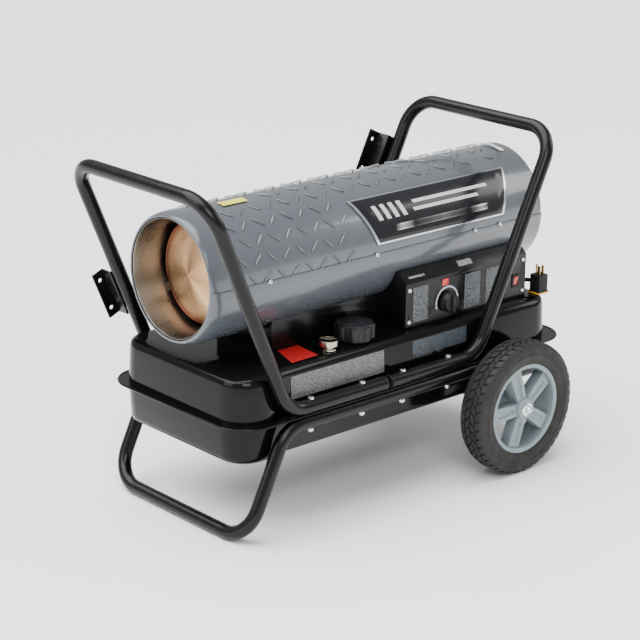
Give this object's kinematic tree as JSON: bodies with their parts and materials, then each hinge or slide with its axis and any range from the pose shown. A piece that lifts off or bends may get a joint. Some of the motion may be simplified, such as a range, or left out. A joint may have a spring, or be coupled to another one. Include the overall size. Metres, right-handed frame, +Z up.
{
  "type": "portable forced-air kerosene heater",
  "caption": "Forced-air kerosene heater: a barrel with burner and fan over a fuel tank, on a tubular frame with carrying handles, a front stand and rubber-tyred wheels.",
  "frame": {"origin": "on the ground below the middle of the bounding box", "axes": "+Z up, +X along the barrel towards the inlet and the wheels, hot air leaves towards -X, the control box is on -Y"},
  "size_m": [0.8974, 0.5368, 0.6333],
  "materials": {
    "shell_paint": "gloss cool grey enamel",
    "zinc": "zinc plated",
    "badge": "satin charcoal with a bright edge",
    "chamber_steel": "brushed stainless with heat tint",
    "target_copper": "spun steel with copper heat tint",
    "cast_metal": "cast, satin",
    "brass": "satin brass",
    "ceramic": "off-white ceramic",
    "dark_plastic": "fine grained black",
    "motor_paint": "satin dark grey",
    "foam": "open cell foam",
    "wire_black": "dipped black wire",
    "hose_rubber": "smooth",
    "black_paint": "gloss black powder coat",
    "red_plastic": "gloss red",
    "board": "green solder mask",
    "transformer_case": "potted",
    "gauge_metal": "bright plated ring",
    "clear": "clear lens",
    "float_foam": "closed cell foam",
    "rim_plastic": "blue-grey moulded",
    "tyre": "block tread"
  },
  "bodies": {
    "heater": {"upper_shell": "shell_paint", "lower_shell": "shell_paint", "shell_screws": "zinc", "badge_plate": "badge", "combustion_chamber": "chamber_steel", "flame_target": "target_copper", "burner_head": "cast_metal", "nozzle": "brass", "igniter": "ceramic", "photocell": "dark_plastic", "motor": "motor_paint", "motor_bracket": "zinc", "pump_body": "cast_metal", "pump_cover": "cast_metal", "air_filter": "foam", "fan_guard": "wire_black", "air_line": "hose_rubber", "fuel_line": "brass", "base_housing": "black_paint", "control_box": "black_paint", "panel_screws": "zinc", "thermostat": "ceramic", "display": "red_plastic", "switch_body": "dark_plastic", "circuit_board": "board", "transformer": "transformer_case", "cord_gland": "dark_plastic", "power_cord": "hose_rubber", "plug": "dark_plastic", "plug_prongs": "brass", "tank_top": "black_paint", "tank_bottom": "black_paint", "frame_bolts": "zinc", "filler_neck": "black_paint", "gauge_body": "gauge_metal", "gauge_lens": "clear", "pickup_filter": "brass", "front_handle": "black_paint", "rear_handle": "black_paint", "wheel_stand": "black_paint", "tube_plugs": "dark_plastic", "cord_hook_front": "black_paint", "cord_hook_rear": "black_paint", "axle": "zinc", "axle_washers": "zinc", "axle_caps": "zinc"},
    "wheel_left": {"rim_left": "rim_plastic", "tyre_left": "tyre"},
    "wheel_right": {"rim_right": "rim_plastic", "tyre_right": "tyre"},
    "rotor": {"motor_shaft": "zinc", "fan": "cast_metal", "pump_rotor": "motor_paint"},
    "cap_seal": {"cap_gasket": "hose_rubber"},
    "cap": {"fuel_cap": "dark_plastic"},
    "knob": {"knob": "dark_plastic"},
    "rocker": {"rocker": "red_plastic"},
    "float_lever": {"float_arm": "brass", "float": "float_foam"},
    "needle": {"gauge_needle": "red_plastic"}
  },
  "joints": [
    {"name": "wheel_left_spin", "type": "hinge", "parent": "heater", "child": "wheel_left", "pos_m": [0.253, -0.235, 0.127], "axis": [0, 1, 0], "continuous": true},
    {"name": "wheel_right_spin", "type": "hinge", "parent": "heater", "child": "wheel_right", "pos_m": [0.253, 0.235, 0.127], "axis": [0, 1, 0], "continuous": true},
    {"name": "fan_spin", "type": "hinge", "parent": "heater", "child": "rotor", "pos_m": [0.3, 0, 0.44], "axis": [1, 0, 0], "continuous": true},
    {"name": "cap_lift", "type": "slide", "parent": "heater", "child": "cap_seal", "axis": [0, 0, 1], "range_m": [0, 0.0091]},
    {"name": "cap_turn", "type": "hinge", "parent": "cap_seal", "child": "cap", "pos_m": [-0.05, -0.115, 0.3], "axis": [0, 0, 1], "range_deg": [0, 540]},
    {"name": "knob_turn", "type": "hinge", "parent": "heater", "child": "knob", "pos_m": [0.16, -0.142, 0.325], "axis": [0, 1, 0], "range_deg": [0, 270]},
    {"name": "rocker_tilt", "type": "hinge", "parent": "heater", "child": "rocker", "pos_m": [0.343, -0.136, 0.328], "axis": [-1, 0, 0], "range_deg": [0, 16]},
    {"name": "float_swing", "type": "hinge", "parent": "heater", "child": "float_lever", "pos_m": [-0.118, -0.122, 0.224], "axis": [0, 1, 0], "range_deg": [0, 62]},
    {"name": "needle_turn", "type": "hinge", "parent": "heater", "child": "needle", "pos_m": [-0.125, -0.129, 0.3], "axis": [0, 0, 1], "range_deg": [0, 100]}
  ],
  "couplings": [
    {"joint": "cap_lift", "follows": "cap_turn", "m_per_rad": 0.000955}
  ]
}
